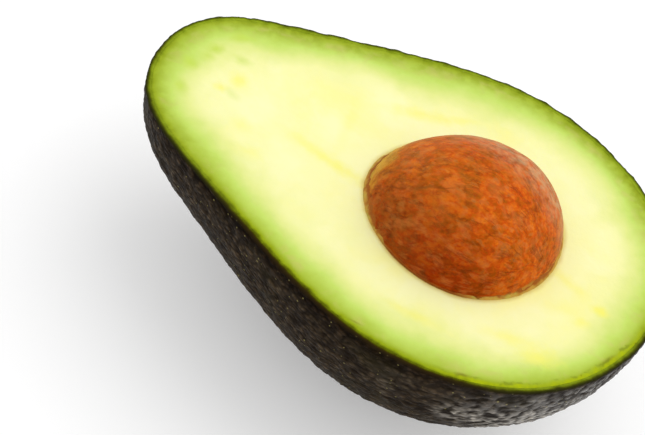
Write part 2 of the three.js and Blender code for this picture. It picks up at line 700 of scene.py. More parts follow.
class Speckle(Effect):
    """Small round specks, each of its own size, with some cells left empty."""

    name = "speckle"
    inputs = {"Vector": None, "Scale": 300.0, "Radius": 0.2, "Share": 0.5}
    output = ("Speck", "Float")
    sizes = Fade(0.0, 1.0, 0.5, 1.2)
    edge = Fade(0.0, 0.5)

    def draw(self) -> Socket:
        """Draws a speck in the middle of each kept cell.

        Returns:
            The specks.
        """
        vector, scale, radius, share = self.given[:4]
        cells = self.cells(vector, scale)
        chance, size, _ = self.channels(cells.outputs["Color"])[:3]
        reach = self.times(radius, self.span(size, self.sizes))
        out = self.maths("DIVIDE", cells.outputs["Distance"], reach)
        inside = self.span(self.maths("SUBTRACT", 1.0, out), self.edge)
        return self.times(self.maths("LESS_THAN", chance, share), inside)


class Grain(Effect):
    """Height of a fine grain: two sizes of cloud, the second about three times as fine."""

    name = "grain"
    inputs = {"Vector": None, "Scale": 1000.0, "Height": 1.0}
    output = ("Height", "Float")
    layers = ((1.0, 0.7), (3.1, 0.3))  # how fine each cloud is, and its weight
    detail = 2.0

    def draw(self) -> Socket:
        """Adds the clouds up.

        Returns:
            The height.
        """
        vector, scale, height = self.given[:3]
        parts = []
        for fineness, weight in self.layers:
            parts.append(self.ragged(vector, Clouds(self.times(scale, fineness), self.detail), weight))
        return self.times(self.plus(*parts), height)


class Rind(Effect):
    """Colour of the cut, by depth under the outside; darker on the -Y side, where juice dried."""

    name = "rind"
    inputs = {"Vector": None, "Depth": 0.0}
    output = ("Color", "Color")
    whole = 3.0  # millimetres that the two lists of colours cover
    far = (
        (0.0, srgb(46, 52, 12)),
        (0.3, srgb(80, 90, 12)),
        (0.6, srgb(114, 130, 18)),
        (1.0, srgb(144, 164, 32)),
        (1.5, srgb(158, 176, 46)),
        (3.0, srgb(178, 200, 74)),
    )
    near = (
        (0.0, srgb(40, 30, 14)),
        (0.3, srgb(48, 38, 8)),
        (0.6, srgb(60, 55, 3)),
        (1.0, srgb(96, 106, 6)),
        (1.5, srgb(146, 163, 20)),
        (3.0, srgb(174, 197, 66)),
    )
    fine = Clouds(480.0)
    wander = Fade(0.0, 0.4, 0.0, 1.2)  # how much the depth wanders, from the outside inwards
    side = Fade(-0.3 * FRUIT.belly, 0.2 * FRUIT.belly)
    broad = Fade(0.15 * FRUIT.length, 0.35 * FRUIT.length, 0.0, 0.6)
    stem = Fade(-0.42 * FRUIT.length, -0.2 * FRUIT.length, 0.6, 0.0)

    def draw(self) -> Socket:
        """Mixes the colours of the two sides.

        Returns:
            The colour.
        """
        vector, depth = self.given[:2]
        deep = self.plus(depth, self.times(self.centred(vector, self.fine), self.span(depth, self.wander)))
        far = self.ramp(deep, self.far, self.whole)
        near = self.ramp(deep, self.near, self.whole)
        x, y, _ = self.axes(vector)
        share = self.most(self.span(y, self.side), self.span(x, self.broad), self.span(x, self.stem))
        return self.mix(share, near, far)


@dataclass(frozen=True)
class Effects:
    """The shared node groups."""

    mottle: Mottle = field(default_factory=Mottle)
    speckle: Speckle = field(default_factory=Speckle)
    grain: Grain = field(default_factory=Grain)
    rind: Rind = field(default_factory=Rind)


# -------------------------------------------------------------------------------------- finishes


class Layer(NamedTuple):
    """A colour laid over what is under it."""

    share: Value
    colour: Value
    blend: Blend = Blend.MIX


class Surface(NodeSheet):
    """A material under construction, with the values that finishes read most.

    Fades over a mask are in the mask's own unit, and fades over a place are in metres.
    """

    name: str
    grit: Grit
    constants: dict[str, Value] = {}  # the shader's plain values

    def __init__(self, effects: Effects) -> None:
        """Makes the material, plain but for its constants.

        Args:
            effects: The shared node groups.
        """
        self.material = bpy.data.materials.new(self.name)
        self.material.use_nodes = True
        super().__init__(self.material.node_tree)
        self.effects = effects
        self.shader = self.tree.nodes["Principled BSDF"]
        for key, value in self.constants.items():
            self.shader.inputs[key].default_value = value

    @cached_property
    def vector(self) -> Socket:
        """The surface's place in the frame."""
        return self.add("ShaderNodeTexCoord").outputs["Object"]

    @cached_property
    def place(self) -> list[Socket]:
        """The three parts of that place."""
        return self.axes(self.vector)

    @cached_property
    def below(self) -> Socket:
        """How far the surface lies below the cut face."""
        return self.maths("SUBTRACT", CENTRE.z, self.place[2])

    def patch(self, kind: Patches, vector: Value | None = None) -> Socket:
        """The share of soft uneven patches, drawn at the surface's place or at a given one."""
        values = dict(zip(("Scale", "Share", "Softness"), kind), Vector=vector or self.vector)
        return self.times(self.group(self.effects.mottle, **values), kind.strength)

    def speck(self, kind: Specks) -> Socket:
        """The share of small round specks."""
        values = dict(zip(("Scale", "Radius", "Share"), kind), Vector=self.vector)
        return self.times(self.group(self.effects.speckle, **values), kind.strength)

    def layered(self, colour: Value, *layers: Layer) -> Value:
        """Lays colours over each other.

        Args:
            colour: The lowest one.
            layers: The others, from below.

        Returns:
            The colour that shows.
        """
        for layer in layers:
            colour = self.mix(layer.share, colour, layer.colour, layer.blend)
        return colour

    def finish(self, vector: Value, added: Value | None = None, **values: Value) -> bpy.types.Material:
        """Feeds the shader, and bumps the surface with its grit.

        Args:
            vector: Where the grit is drawn.
            added: A height added to the grit's.
            values: What the shader's other sockets are fed; underscores stand for spaces.

        Returns:
            The material.
        """
        scale, height, depth = self.grit
        grit = self.group(self.effects.grain, Vector=vector, Scale=scale, Height=height)
        height = grit if added is None else self.plus(grit, added)
        bump = self.wire(self.add("ShaderNodeBump"), Strength=1.0, Distance=depth, Height=height)
        self.wire(self.shader, Normal=bump.outputs["Normal"], **values)
        return self.material


class PeelFinish(Surface):
    """Waxy, near-black peel: dull grey-brown pebble tops, black creases and a brown stem scar; the tops'
    lightness and the creases' darkness are partly painted highlight and shade, the pale bloom is partly a
    painted reflection of the floor, the band under the cut is partly painted shade and the pale specks are
    partly painted glints.
    """

    name = "peel"
    # crease, flank and top colours by relief: creases darker as painted shade, tops lighter as painted
    # highlight
    crease = srgb(24, 16, 8)
    flank = srgb(52, 40, 25)
    top = srgb(76, 60, 42)
    worn = srgb(92, 82, 62)
    olive = srgb(44, 40, 14)
    # pale specks: real pores, and painted glints on the small bumps
    pore = srgb(150, 140, 84)
    wood = srgb(78, 60, 40)
    # darkens the band under the cut: juice stain, and painted shade
    stain = srgb(140, 116, 92)
    # pale bloom, partly a painted reflection of the white floor
    bloom = srgb(182, 175, 163)
    bend = (Clouds(260.0, 2.0), 1.2 * MM)
    wart_stretch = 0.65
    wart_scale = 1150.0
    wart_side = Fade(0.1, 0.75, 1.0, 0.0)
    wart_share = Fade(0.0, 1.0, 0.45, 1.15)
    ground = ((0.1, crease), (0.5, flank), (1.0, top))
    stretch = 0.8
    streaks = Patches(1000.0, 0.4, 0.14)
    streak_tops = Fade(0.2, 0.8, 0.1, 0.45)
    olives = Patches(80.0, 0.42, 0.14, 0.3)
    dents = Patches(330.0, 0.42, 0.1, 0.45)
    bloom_tops = Fade(0.15, 0.75)
    bloom_warts = Fade(0.0, 1.0, 0.4, 0.9)
    bloom_wander = (Clouds(90.0, 4.0), Fade(0.25, 0.75, -12 * MM, 12 * MM))
    bloom_broad = Fade(12 * MM, 45 * MM)
    bloom_tip = Fade(0.3 * FRUIT.length, 0.42 * FRUIT.length, 1.0, 0.3)
    bloom_under = Fade(4 * MM, 12.8 * MM, 0.25, 1.7)
    bloom_stretch = 0.3
    bloom_streaks = Patches(700.0, 0.55, 0.2)
    bloom_streak = Fade(0.0, 1.0, 0.5, 1.0)
    wax_tops = Fade(0.15, 0.7, 0.1, 0.75)
    wax_broad = Fade(15 * MM, 39 * MM, 0.06, 1.0)
    wax_below = Fade(0.3 * MM, 1.5 * MM)
    pores = Specks(800.0, 0.17, 0.5, 0.6)
    stain_band = Fade(0.8 * MM, 4 * MM, 0.85, 0.0)
    stain_broad = Fade(0.0, 30 * MM, 1.0, 0.5)
    stain_stem = Fade(-54 * MM, -30 * MM, 0.2, 1.0)
    rim_depth = Fade(0.0, 1.0, 1.0, 0.0)
    rim_edge = Fade(0.97, 1.0, 1.0, 0.0)
    rim_shoulder = Fade(0.1 * MM, 0.8 * MM, 0.85, 0.0)
    dull = (Clouds(900.0), Fade(0.3, 0.7, 0.4, 0.58))
    dull_stain = 0.15
    constants = {"Specular IOR Level": 0.015, "Coat Roughness": 0.2, "Coat IOR": 1.75}
    grit = Grit(1500.0, 0.8, 0.13 * MM)

    def build(self) -> bpy.types.Material:
        """Lays the peel's colours over each other, from its ground to its cut rim.

        Returns:
            The material.
        """
        colour = self.layered(
            self._ground(),
            # pale bloom, partly painted reflection of the floor on the underside
            Layer(self._bloom_share(), self.bloom),
            # juice stain deepened by painted shade just below the cut
            Layer(self.wet, self.stain, Blend.MULTIPLY),
            # pale specks: pores, and painted glints
            Layer(self.speck(self.pores), self.pore),
            Layer(self.attribute(Mask.SCAR), self.wood),
            self._cut_edge(),
        )
        rough = self.plus(self.uneven(self.vector, *self.dull), self.times(self.wet, self.dull_stain))
        values = {"Base_Color": colour, "Roughness": rough, "Coat_Weight": self._wax()}
        return self.finish(self.vector, self.warts, **values)

    @cached_property
    def warts(self) -> Socket:
        """Height of the fine warts on the pebbles, longer along the fruit, from 0 between them to 1."""
        vector = self.stretched(self.bent(self.vector, *self.bend), self.wart_stretch)
        return self.span(self.cells(vector, self.wart_scale).outputs["Distance"], self.wart_side)

    @cached_property
    def wet(self) -> Socket:
        """The dark band just below the cut: wet with juice, and darkened further as painted shade.

        Returns:
            How far a point lies in it.
        """
        x = self.place[0]
        ends = self.times(self.span(x, self.stain_broad), self.span(x, self.stain_stem))
        return self.times(self.span(self.below, self.stain_band), ends)

    def _ground(self) -> Value:
        """The peel's colour, by how far up its pebble and its wart a point is, with worn streaks: darker
        down in the creases as painted shade and lighter on the tops as painted highlight.

        Returns:
            The colour.
        """
        relief = self.times(self.attribute(Mask.RELIEF), self.span(self.warts, self.wart_share))
        along = self.stretched(self.vector, self.stretch)
        worn = self.times(self.patch(self.streaks, along), self.span(relief, self.streak_tops))
        return self.layered(
            # painted shade in the creases and painted highlight on the pebble and wart tops
            self.ramp(relief, self.ground),
            Layer(worn, self.worn),
            Layer(self.patch(self.olives), self.olive),
            Layer(self.patch(self.dents, along), self.crease),
        )

    def _bloom_share(self) -> Socket:
        """The pale bloom, which also stands for a painted reflection of the floor: on the tops of the broad
        end's underside, more the further down, in streaks.

        Returns:
            How thick it is.
        """
        x = self.place[0]
        relief = self.span(self.attribute(Mask.RELIEF), self.bloom_tops)
        tops = self.times(relief, self.span(self.warts, self.bloom_warts))
        moved = self.plus(x, self.uneven(self.vector, *self.bloom_wander))
        broad = self.times(self.span(moved, self.bloom_broad), self.span(x, self.bloom_tip))
        streak = self.patch(self.bloom_streaks, self.stretched(self.vector, self.bloom_stretch))
        under = self.span(self.below, self.bloom_under)
        return self.times(tops, broad, under, self.span(streak, self.bloom_streak))

    def _wax(self) -> Socket:
        """The wax: most on the pebbles' tops and at the broad end, not on the cut rim.

        Returns:
            How waxy a point is.
        """
        tops = self.span(self.attribute(Mask.RELIEF), self.wax_tops)
        broad = self.span(self.place[0], self.wax_broad)
        dry = self.maths("SUBTRACT", 1.0, self.wet)
        return self.times(tops, broad, self.span(self.below, self.wax_below), dry)

    def _cut_edge(self) -> Layer:
        """The cut rim: green at its inner edge, through olive, to black at its outer one.

        Returns:
            Its share and colour.
        """
        across = self.attribute(Mask.RIND)
        cut = self.group(self.effects.rind, Vector=self.vector, Depth=self.span(across, self.rim_depth))
        shoulder = self.span(self.below, self.rim_shoulder)
        return Layer(self.most(self.span(across, self.rim_edge), shoulder), cut)


class Strand(NamedTuple):
    """A short streak or spot in the flesh, placed in millimetres from the fruit's centre."""

    colour: Colour
    x: float
    y: float
    length: float
    width: float
    turn: float
    strength: float


class FleshFinish(Surface):
    """Moist ripe flesh: green under the skin, pale yellow further in, with a few strands, and painted shade
    round the pit's seat.
    """

    name = "ripe_flesh"
    whole = 16.0  # millimetres that the colours by depth cover
    depths = (
        (1.0, srgb(166, 186, 62)),
        (2.0, srgb(176, 198, 74)),
        (4.0, srgb(197, 221, 106)),
        (6.6, srgb(224, 232, 142)),
        (9.5, srgb(240, 241, 166)),
        (15.0, srgb(246, 245, 178)),
    )
    cream = srgb(250, 248, 194)
    honey = srgb(248, 243, 148)
    shaded_green = srgb(215, 213, 170)
    # painted shade ring and painted contact shadow where the flesh meets the pit
    halo = srgb(214, 188, 92)
    contact = srgb(166, 120, 40)
    crease = srgb(170, 184, 12)
    crease_line = srgb(118, 130, 30)
    fleck = srgb(112, 92, 20)
    blush = srgb(200, 190, 112)
    yellow = srgb(245, 240, 104)
    leaf = srgb(192, 216, 80)
    bruise = srgb(120, 104, 30)
    strands = (
        Strand(yellow, -15.5, -4.6, 12.0, 2.4, -6.0, 0.5),
        Strand(yellow, -9.0, -5.2, 8.0, 2.2, -4.0, 0.4),
        Strand(yellow, -26.0, -13.0, 4.0, 2.6, 20.0, 0.35),
        Strand(yellow, -30.2, -8.2, 3.4, 2.4, 0.0, 0.3),
        Strand(yellow, -5.0, 17.0, 11.0, 2.4, 26.0, 0.5),
        Strand(yellow, 2.0, 21.0, 6.0, 1.5, 32.0, 0.3),
        Strand(yellow, 34.5, -1.0, 7.0, 2.0, -14.0, 0.45),
        Strand(yellow, 42.3, -3.2, 2.6, 2.0, 10.0, 0.8),
        Strand(yellow, 40.6, -7.8, 2.4, 1.8, 15.0, 0.45),
        Strand(yellow, 36.2, -7.0, 4.2, 2.4, 15.0, 0.3),
        Strand(yellow, 15.5, -26.0, 9.0, 1.8, 5.0, 0.4),
        Strand(yellow, 32.1, -19.2, 9.0, 2.2, 16.0, 0.45),
        Strand(yellow, 37.9, -19.9, 6.0, 2.8, 24.0, 0.6),
        Strand(yellow, -15.0, 6.0, 2.0, 12.0, 12.0, 0.25),
        Strand(yellow, -35.9, 1.0, 3.6, 2.8, -60.0, 0.6),
        Strand(leaf, -45.4, -1.2, 2.6, 2.2, -30.0, 0.75),
        Strand(leaf, -43.9, 2.4, 2.4, 2.0, 40.0, 0.6),
        Strand(leaf, -43.6, 4.9, 2.8, 2.2, 50.0, 0.8),
        Strand(leaf, -41.4, 10.7, 3.6, 2.0, 35.0, 0.7),
        Strand(leaf, -38.2, 5.7, 2.6, 2.0, 20.0, 0.5),
        Strand(leaf, -43.6, -7.6, 3.0, 2.2, -50.0, 0.6),
        Strand(yellow, -37.8, -2.7, 2.2, 2.0, 0.0, 0.6),
        Strand(leaf, -35.4, -2.8, 3.0, 1.6, -15.0, 0.3),
        Strand(bruise, 48.2, -12.0, 3.0, 0.8, 66.0, 0.5),
        Strand(bruise, 41.0, -26.6, 3.0, 0.5, 43.0, 0.7),
        Strand(bruise, 28.4, -31.9, 2.4, 0.6, 24.0, 0.6),
        Strand(bruise, 8.0, -34.0, 2.0, 0.4, 4.0, 0.5),
    )
    strand_rag = (Clouds(450.0), 1.6)
    strand_edge = (0.7, 2.8)
    depth_wander = (Clouds(90.0), Fade(0.25, 0.75, 0.78, 1.22))
    depth_stem = Fade(-46 * MM, -24 * MM, 0.92, 1.0)
    depth_broad = Fade(12 * MM, 30 * MM)
    depth_near = Fade(-0.6 * FRUIT.belly, -0.2 * FRUIT.belly, 0.2, 0.0)
    fine = Clouds(600.0)
    fine_depth = Fade(0.0, 2.0)
    inner_depth = Fade(0.7, 2.0)
    inside = Fade(6.0, 12.0)
    creams = Patches(110.0, 0.5, 0.15, 0.55)
    honeys = Patches(70.0, 0.42, 0.14, 0.6)
    honey_place = (0.3, 0.1, 0.0)
    far_side = Fade(-0.1 * FRUIT.belly, 0.5 * FRUIT.belly)
    far_stem = Fade(-46 * MM, -24 * MM, 0.6, 0.0)
    far_uneven = (Clouds(500.0, 4.0), Fade(0.35, 0.65, 0.0, 0.6))
    far_band = Fade(0.5, 4.5, 1.0, 0.0)
    blushes = Patches(260.0, 0.4, 0.12)
    blush_from = Fade(0.6, 1.8)
    blush_to = Fade(2.5, 6.0, 0.4, 0.0)
    crease_broad = Fade(12 * MM, 24 * MM)
    crease_near = Fade(-0.25 * FRUIT.belly, 0.05 * FRUIT.belly, 1.0, 0.0)
    crease_wander = (Clouds(420.0, 4.0), Fade(0.25, 0.75, -0.35, 0.35))
    crease_depth = 0.9
    crease_patchy = (Clouds(700.0), Fade(0.3, 0.7, 0.35, 0.9))
    crease_inside = Fade(-0.5, 0.3, 1.0, 0.0)
    line_near = Fade(0.05, 0.5, 0.6, 0.0)
    line_broken = (Clouds(500.0), Fade(0.45, 0.62))
    flecks = Specks(800.0, 0.3, 0.45)
    fleck_rim = Fade(0.6, 1.6, 0.7, 0.0)
    fleck_broad = Fade(24 * MM, 48 * MM)
    seat_rag = (Clouds(260.0), 0.9)
    halo_edge = Fade(0.5, 1.9, 0.75, 0.0)
    contact_edge = Fade(0.4, 0.85, 0.9, 0.0)
    moist = (Clouds(260.0, 4.0), Fade(0.3, 0.7, 0.4, 0.58))
    constants = {
        "Specular IOR Level": 0.02,
        "Subsurface Weight": 0.15,
        "Subsurface Radius": (1.0, 0.9, 0.35),
        "Subsurface Scale": 0.8 * MM,
    }
    grit = Grit(900.0, 1.0, 0.05 * MM)

    def build(self) -> bpy.types.Material:
        """Lays the flesh's colours over each other, from its ground to the painted shade round the pit's
        seat.

        Returns:
            The material.
        """
        inside = self.span(self.rind, self.inside)
        honey = self.patch(self.honeys, self.mapped(self.vector, Location=self.honey_place))
        blush = self.times(self.span(self.rind, self.blush_from), self.span(self.rind, self.blush_to))
        seat = self.plus(self.attribute(Mask.SEAT), self.ragged(self.vector, *self.seat_rag))
        colour = self.layered(
            self._depth_colour(),
            Layer(self.times(inside, self.patch(self.creams)), self.cream),
            Layer(self.times(inside, honey), self.honey),
            Layer(self._far_share(), self.shaded_green, Blend.MULTIPLY),
            Layer(self.times(self.patch(self.blushes), blush), self.blush),
            *(Layer(self._strand_share(strand), strand.colour) for strand in self.strands),
            *self._crease(),
            # painted shade and painted contact shadow where the flesh meets the pit
            Layer(self.span(seat, self.halo_edge), self.halo),
            Layer(self.span(seat, self.contact_edge), self.contact),
        )
        return self.finish(self.vector, Base_Color=colour, Roughness=self.uneven(self.vector, *self.moist))

    @cached_property
    def rind(self) -> Socket:
        """Millimetres from the inside of the skin."""
        return self.attribute(Mask.RIND)

    def _depth_colour(self) -> Socket:
        """The colour by depth under the skin; the green reaches deeper at the stem end.

        Returns:
            The colour.
        """
        x, y, _ = self.place
        near = self.times(self.span(x, self.depth_broad), self.span(y, self.depth_near))
        ends = self.plus(self.span(x, self.depth_stem), near)
        depth = self.times(self.rind, self.uneven(self.vector, *self.depth_wander), ends)
        fine = self.times(self.centred(self.vector, self.fine), self.span(self.rind, self.fine_depth))
        inner = self.ramp(self.plus(depth, fine), self.depths, self.whole)
        edge = self.group(self.effects.rind, Vector=self.vector, Depth=self.plus(self.rind, SKIN / MM))
        return self.mix(self.span(self.rind, self.inner_depth), edge, inner)

    def _far_share(self) -> Socket:
        """Where the green band is darker: on the +Y side and round the stem end, unevenly.

        Returns:
            How dark it is.
        """
        x, y, _ = self.place
        side = self.most(self.span(y, self.far_side), self.span(x, self.far_stem))
        band = self.span(self.rind, self.far_band)
        return self.times(side, self.uneven(self.vector, *self.far_uneven), band)

    def _strand_share(self, strand: Strand) -> Socket:
        """Where one soft-edged streak lies.

        Args:
            strand: The streak.

        Returns:
            How much of it shows.
        """
        middle = CENTRE + Vector((strand.x, strand.y, 0)) * MM
        half = Vector((strand.length, strand.width, strand.length + strand.width)) * (MM / 2)
        turn = (0, 0, math.radians(strand.turn))
        local = self.mapped(self.vector, "TEXTURE", Location=middle, Rotation=turn, Scale=half)
        reach = self.add("ShaderNodeVectorMath", local, operation="LENGTH").outputs["Value"]
        edge = Fade(*self.strand_edge, strand.strength, 0.0)
        return self.span(self.plus(reach, self.ragged(self.vector, *self.strand_rag)), edge)

    def _crease(self) -> tuple[Layer, ...]:
        """A yellow-olive band along the skin, round the near side of the broad end.

        Returns:
            The band, its edge line and its dark flecks.
        """
        x, y, _ = self.place
        where = self.times(self.span(x, self.crease_broad), self.span(y, self.crease_near))
        moved = self.plus(self.rind, self.uneven(self.vector, *self.crease_wander))
        away = self.maths("SUBTRACT", moved, self.crease_depth)
        patchy = self.times(where, self.uneven(self.vector, *self.crease_patchy))
        near = self.span(self.maths("ABSOLUTE", away), self.line_near)
        rim = self.times(where, self.span(self.rind, self.fleck_rim), self.span(x, self.fleck_broad))
        return (
            Layer(self.times(patchy, self.span(away, self.crease_inside)), self.crease),
            Layer(self.times(near, where, self.uneven(self.vector, *self.line_broken)), self.crease_line),
            Layer(self.times(rim, self.speck(self.flecks)), self.fleck),
        )


class Crack(NamedTuple):
    """A long crack in the coat: its angle about the pit's axis, its slant and its ends, in half-lengths."""

    angle: float
    slant: float
    start: float
    end: float
    strength: float


class SeedCoatFinish(Surface):
    """The pit's coat: mottled red-brown and orange, with fine fibres, a dusty film that is partly a painted
    sheen, and painted shade on its lower side.
    """

    name = "seed_coat"
    dark = srgb(116, 50, 6)
    brown = srgb(168, 82, 4)
    red = srgb(196, 72, 8)
    orange = srgb(222, 112, 20)
    blush = srgb(204, 124, 62)
    # painted shade, multiplied in on the side facing away from the light
    shaded = srgb(190, 150, 66)
    fibre = srgb(88, 38, 14)
    # dusty film, partly a painted sheen on the side towards the light
    dust = srgb(204, 178, 132)
    husk = srgb(182, 116, 44)
    tip = srgb(212, 168, 54)
    edge = srgb(182, 138, 60)
    dust_from = Vector((0.25, 0.85, 0.45)).normalized()
    husk_from = Vector((-0.62, -0.56, 0.55)).normalized()
    husk_share = 0.5
    dull_from = Vector((-0.3, -0.8, -0.52)).normalized()
    dull_side = Fade(0.0, 0.9)
    tip_from = Vector((-0.93, -0.1, 0.33)).normalized()
    tip_rag = (Clouds(8.0, 5.0, 0.65), 0.3)
    tip_side = Fade(0.93, 1.15, 0.0, 0.9)
    stretch = 0.7
    blotch = (Clouds(4.0, 5.0, 0.7), 0.62)
    dabs = (Clouds(13.0, 5.0, 0.65), 0.38)
    ground = ((0.37, dark), (0.45, brown), (0.51, red), (0.58, orange))
    tint_bend = (Clouds(9.0), 0.16)
    tint_scale = 19.0
    tint_blur = 0.9
    tints = ((0.2, brown), (0.45, red), (0.65, orange), (0.9, blush))
    tint_share = 0.4
    small = Patches(26.0, 0.42, 0.14, 0.4)
    tiny = Patches(42.0, 0.42, 0.12, 0.2)
    pale_place = (0.0, 0.4, 0.2)
    pale_width = 0.12
    pale_share = 0.3
    fibre_width = 0.055
    fibre_share = 0.34
    fibre_depth = -0.4
    fibre_bend = (Clouds(2.0, 2.0), 0.25)
    fibre_along = 0.3
    fibre_clouds = Clouds(8.0, 6.0, 0.65)
    fibre_broken = (Clouds(7.0), Fade(0.45, 0.62))
    cracks = (
        Crack(119.5, -20.0, -0.75, 0.3, 0.55),
        Crack(135.5, -24.0, -0.7, 0.2, 0.65),
        Crack(146.0, -12.0, -0.3, 0.25, 0.4),
    )
    crack_wander = (Clouds(5.0), 0.22)
    crack_width = 0.03
    crack_taper = 0.15
    crack_faint = (Clouds(9.0, 2.0), Fade(0.35, 0.6, 0.35, 1.0))
    film_side = Fade(0.3, 0.75, 0.0, 0.62)
    film_patches = Patches(11.0, 0.5, 0.2, 0.75)
    film_least = 0.15
    edge_height = Fade(0.45 * PIT.half_length, PIT.half_length, 0.6 * MM, 3.2 * MM)
    edge_clouds = Clouds(220.0, 4.0)
    edge_fade = Fade(-0.2 * MM, 0.9 * MM, 0.0, 0.8)
    film_rough = 0.15
    least_rough = 0.4
    constants = {"Specular IOR Level": 0.03}
    grit = Grit(22.0, 0.5, 0.12 * MM)

    def build(self) -> bpy.types.Material:
        """Lays the coat's colours over each other, from its ground to its low edge.

        Returns:
            The material.
        """
        pale = self._fibres(self.mapped(self.local, Location=self.pale_place), self.pale_width)
        lines = self._fibres(self.local, self.fibre_width)
        # dust film, partly a painted sheen on the side towards the light
        dust_and_sheen_film = self._film(self.dust_from)
        tip = self.plus(self.towards(self.local, self.tip_from), self.ragged(self.local, *self.tip_rag))
        colour = self.layered(
            self._ground(),
            Layer(self.times(pale, self.pale_share), self.blush),
            Layer(self.times(lines, self.fibre_share), self.fibre),
            Layer(self._crack_share(), self.dark),
            Layer(dust_and_sheen_film, self.dust),
            Layer(self.times(self._film(self.husk_from), self.husk_share), self.husk),
            Layer(self.span(tip, self.tip_side), self.tip),
            Layer(self._edge_share(), self.edge),
        )
        rough = self.plus(self.times(dust_and_sheen_film, self.film_rough), self.least_rough)
        grooves = self.times(lines, self.fibre_depth)
        return self.finish(self.local, grooves, Base_Color=colour, Roughness=rough)

    @cached_property
    def local(self) -> Socket:
        """The surface's place in the pit, in half-lengths, half-widths and half-depths.

        Returns:
            The place.
        """
        half = (PIT.half_length, PIT.half_width, PIT.half_depth)
        values = {"Location": CENTRE + PIT.centre, "Rotation": PIT.tilt, "Scale": half}
        return self.mapped(self.vector, "TEXTURE", **values)

    def _ground(self) -> Value:
        """The mottled ground colour: short dabs that run from pole to pole, with painted shade on the lower
        side.

        Returns:
            The colour.
        """
        along = self.stretched(self.local, self.stretch)
        dabs = self.plus(self.ragged(self.local, *self.blotch), self.ragged(along, *self.dabs))
        side = self.towards(self.local, self.dull_from)
        return self.layered(
            self.ramp(dabs, self.ground),
            Layer(self.tint_share, self._tints(along)),
            Layer(self.patch(self.small, along), self.orange),
            Layer(self.patch(self.tiny, self.local), self.brown),
            # painted shade: darker on the side facing away from the light
            Layer(self.span(side, self.dull_side), self.shaded, Blend.MULTIPLY),
        )

    def _tints(self, along: Socket) -> Socket:
        """Small soft patches, each of a tint of its own: brown, red, orange or pinkish.

        Args:
            along: Where they are drawn.

        Returns:
            Their colour.
        """
        cells = self.cells(self.bent(along, *self.tint_bend), self.tint_scale, "SMOOTH_F1")
        cells.inputs["Smoothness"].default_value = self.tint_blur
        return self.ramp(self.channels(cells.outputs["Color"])[0], self.tints)

    def _crack_share(self) -> Socket:
        """The few long cracks that run along the upper side of the coat, thinning out at their ends.

        Returns:
            How deep in a crack a point is.
        """
        along, aside, up = self.axes(self.local)
        clouds, by = self.crack_wander
        angle = self.plus(self.maths("ARCTAN2", up, aside), self.ragged(self.local, clouds, by))
        shares = []
        for crack in self.cracks:
            slant = self.times(along, math.radians(crack.slant))
            line = self.plus(slant, math.radians(crack.angle) + by / 2)
            away = self.maths("ABSOLUTE", self.maths("SUBTRACT", angle, line))
            near = self.span(away, Fade(0.0, self.crack_width, crack.strength, 0.0))
            first = self.span(along, Fade(crack.start, crack.start + self.crack_taper))
            last = self.span(along, Fade(crack.end - self.crack_taper, crack.end, 1.0, 0.0))
            shares.append(self.times(near, first, last))
        return self.times(self.most(*shares), self.uneven(self.local, *self.crack_faint))

    def _fibres(self, vector: Socket, width: float) -> Socket:
        """Lines that run from pole to pole, meandering and broken.

        Args:
            vector: Where they are drawn.
            width: How wide they are, in the clouds' values.

        Returns:
            How much of a line shows at a point.
        """
        x, y, z = self.axes(self.bent(vector, *self.fibre_bend))
        ring = self.add("ShaderNodeCombineXYZ", 0.0, y, z).outputs[0]
        unit = self.add("ShaderNodeVectorMath", ring, operation="NORMALIZE").outputs[0]
        slow = self.add("ShaderNodeCombineXYZ", self.times(x, self.fibre_along)).outputs[0]
        along = self.add("ShaderNodeVectorMath", unit, slow, operation="ADD").outputs[0]
        ridge = self.maths("ABSOLUTE", self.centred(along, self.fibre_clouds))
        broken = self.uneven(vector, *self.fibre_broken)
        return self.times(self.span(ridge, Fade(0.0, width, 1.0, 0.0)), broken)

    def _film(self, way: Vector) -> Socket:
        """A dry film on the side that looks a certain way, in broken patches; on the side towards the light
        it is also a painted sheen.

        Args:
            way: That way, in the pit's own frame.

        Returns:
            How thick the film is.
        """
        patchy = self.plus(self.patch(self.film_patches, self.local), self.film_least)
        return self.times(self.span(self.towards(self.local, way), self.film_side), patchy)

    def _edge_share(self) -> Socket:
        """Flesh left clinging to the coat in a thin tan band just above the cut face.

        Returns:
            How much of it shows.
        """
        along = self.maths("SUBTRACT", self.place[0], CENTRE.x + PIT.centre.x)
        away = self.maths("ABSOLUTE", along)
        height = self.times(self.noise(self.vector, self.edge_clouds), self.span(away, self.edge_height))
        return self.span(self.plus(height, self.below), self.edge_fade)


class CorkFinish(Surface):
    """Dry cork where the stem broke off: pale brown, with dark rings and cracks."""

    name = "stem_cork"
    cork = srgb(132, 106, 74)
    grey = srgb(150, 134, 108)
    ring = srgb(72, 54, 34)
    crack = srgb(40, 29, 18)
    patches = Patches(900.0, 0.45, 0.15)
    wander = (Clouds(700.0), Fade(0.2, 0.8, -0.1, 0.1))
    rim = Fade(0.72, 0.9, 0.0, 0.9)
    middle = Fade(0.12, 0.28, 0.8, 0.0)
    crack_share = 0.7
    constants = {"Roughness": 0.85, "Specular IOR Level": 0.15}
    grit = Grit(2200.0, 1.0, 0.12 * MM)

    def build(self) -> bpy.types.Material:
        """Lays the rings and cracks over the cork.

        Returns:
            The material.
        """
        out = self.plus(self.attribute(Mask.SCAR), self.uneven(self.vector, *self.wander))
        colour = self.layered(
            self.mix(self.patch(self.patches), self.cork, self.grey),
            Layer(self.most(self.span(out, self.rim), self.span(out, self.middle)), self.ring),
            Layer(self.times(self.attribute(Mask.RELIEF), self.crack_share), self.crack),
        )
        return self.finish(self.vector, Base_Color=colour)


